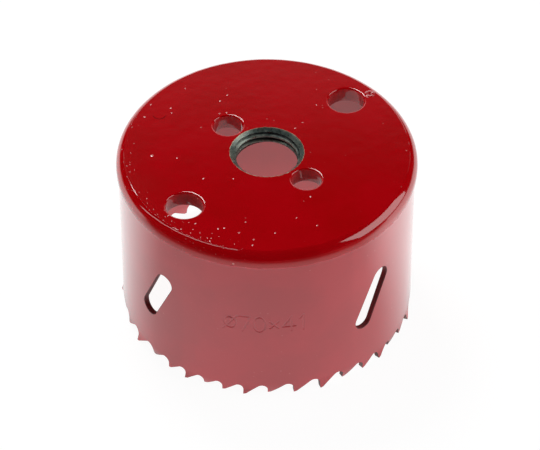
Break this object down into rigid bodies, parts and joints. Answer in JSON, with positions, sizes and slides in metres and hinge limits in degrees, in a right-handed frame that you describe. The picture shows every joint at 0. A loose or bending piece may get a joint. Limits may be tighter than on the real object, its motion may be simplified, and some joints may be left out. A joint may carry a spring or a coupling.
{
  "type": "hole saw",
  "caption": "Bi-metal hole saw: a red painted cup with a threaded end plate, pin and ejector holes, slanted chip slots and a ring of set teeth.",
  "frame": {"origin": "on the saw's axis, in the plane of the tooth tips that it stands on", "axes": "+Z along the axis from the teeth to the end plate; the front seen in the picture faces -Y; +X is to its right"},
  "size_m": [0.0699, 0.0698, 0.0446],
  "materials": {
    "plate_paint": "gloss",
    "wall_paint": "gloss",
    "tooth_steel": "milled, half covered by paint"
  },
  "bodies": {
    "root": {"end_plate": "plate_paint", "saw_wall": "wall_paint", "weld_bead": "wall_paint", "tooth_tip_01": "tooth_steel", "tooth_tip_02": "tooth_steel", "tooth_tip_03": "tooth_steel", "tooth_tip_04": "tooth_steel", "tooth_tip_05": "tooth_steel", "tooth_tip_06": "tooth_steel", "tooth_tip_07": "tooth_steel", "tooth_tip_08": "tooth_steel", "tooth_tip_09": "tooth_steel", "tooth_tip_10": "tooth_steel", "tooth_tip_11": "tooth_steel", "tooth_tip_12": "tooth_steel", "tooth_tip_13": "tooth_steel", "tooth_tip_14": "tooth_steel", "tooth_tip_15": "tooth_steel", "tooth_tip_16": "tooth_steel", "tooth_tip_17": "tooth_steel", "tooth_tip_18": "tooth_steel", "tooth_tip_19": "tooth_steel", "tooth_tip_20": "tooth_steel", "tooth_tip_21": "tooth_steel", "tooth_tip_22": "tooth_steel", "tooth_tip_23": "tooth_steel", "tooth_tip_24": "tooth_steel", "tooth_tip_25": "tooth_steel", "tooth_tip_26": "tooth_steel", "tooth_tip_27": "tooth_steel", "tooth_tip_28": "tooth_steel", "tooth_tip_29": "tooth_steel", "tooth_tip_30": "tooth_steel", "tooth_tip_31": "tooth_steel", "tooth_tip_32": "tooth_steel", "tooth_tip_33": "tooth_steel", "tooth_tip_34": "tooth_steel", "tooth_tip_35": "tooth_steel", "tooth_tip_36": "tooth_steel", "tooth_tip_37": "tooth_steel", "tooth_tip_38": "tooth_steel", "tooth_tip_39": "tooth_steel"}
  },
  "joints": []
}
